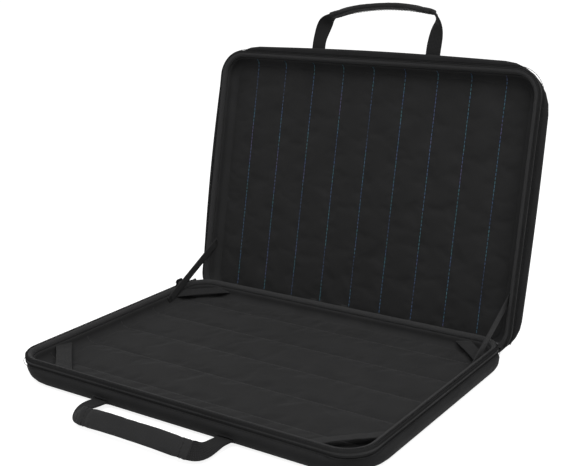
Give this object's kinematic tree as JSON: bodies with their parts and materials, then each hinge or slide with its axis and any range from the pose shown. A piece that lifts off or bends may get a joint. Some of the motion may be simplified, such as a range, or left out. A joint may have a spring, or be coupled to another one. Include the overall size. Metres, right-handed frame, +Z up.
{
  "type": "laptop hard case",
  "caption": "Zip-round moulded laptop case standing open, with a quilted padded lining, corner elastics, side stay straps and a webbing carrying handle on each half.",
  "frame": {"origin": "centre of the base half's flat underside, on the table", "axes": "+X along the fabric spine, to the right seen from the front; +Y from the front handle towards the spine; +Z up out of the open base"},
  "size_m": [0.3294, 0.3603, 0.278],
  "materials": {
    "shell_fabric": "fine woven nylon laminated on moulded foam",
    "foam": "closed-cell foam",
    "lining_fabric": "soft brushed knit",
    "quilt_thread": "iridescent twisted thread",
    "piping": "fabric-covered cord",
    "zip_tape": "ribbed woven tape",
    "zip_coil": "nylon coil",
    "zip_metal": "black lacquer",
    "webbing": "woven webbing",
    "grip_fabric": "padded woven sleeve",
    "elastic": "ribbed elastic"
  },
  "bodies": {
    "base": {"base_shell": "shell_fabric", "base_foam": "foam", "base_lining": "lining_fabric", "base_quilt_thread": "quilt_thread", "base_rim_bead": "piping", "base_zip_tape": "zip_tape", "base_zip_coil": "zip_coil", "zip_end_stops": "zip_metal", "corner_elastic_front_left": "elastic", "corner_elastic_front_right": "elastic", "corner_elastic_rear_left": "elastic", "corner_elastic_rear_right": "elastic", "base_handle_anchors": "webbing", "spine_fabric": "piping", "stay_strap_left": "webbing", "stay_strap_right": "webbing"},
    "base_handle": {"base_handle_webbing": "webbing", "base_handle_sleeve": "grip_fabric"},
    "lid": {"lid_shell": "shell_fabric", "lid_foam": "foam", "lid_lining": "lining_fabric", "lid_quilt_thread": "quilt_thread", "lid_rim_bead": "piping", "lid_zip_tape": "zip_tape", "lid_zip_coil": "zip_coil", "lid_handle_anchors": "webbing"},
    "lid_handle": {"lid_handle_webbing": "webbing", "lid_handle_sleeve": "grip_fabric"},
    "slider": {"zip_slider": "zip_metal"},
    "pull": {"zip_pull": "zip_metal"}
  },
  "joints": [
    {"name": "lid_hinge", "type": "hinge", "parent": "base", "child": "lid", "pos_m": [0, 0.11188, 0.01208], "axis": [1, 0, 0], "range_deg": [0, 101.8], "deforming": ["spine_fabric", "stay_strap_left", "stay_strap_right"]},
    {"name": "lid_handle_fold", "type": "hinge", "parent": "lid", "child": "lid_handle", "pos_m": [-0.0035, 0.18378, 0.23435], "axis": [1, 0, 0], "range_deg": [-135, 5]},
    {"name": "base_handle_fold", "type": "hinge", "parent": "base", "child": "base_handle", "pos_m": [-0.0035, -0.1204, 0.006], "axis": [-1, 0, 0], "range_deg": [-5, 25]},
    {"name": "zip_slide", "type": "slide", "parent": "base", "child": "slider", "axis": [0, -1, 0], "range_m": [0, 0.178]},
    {"name": "pull_swing", "type": "hinge", "parent": "slider", "child": "pull", "pos_m": [-0.1607, 0.0913, 0.0215], "axis": [0, 1, 0], "range_deg": [0, 147]}
  ]
}
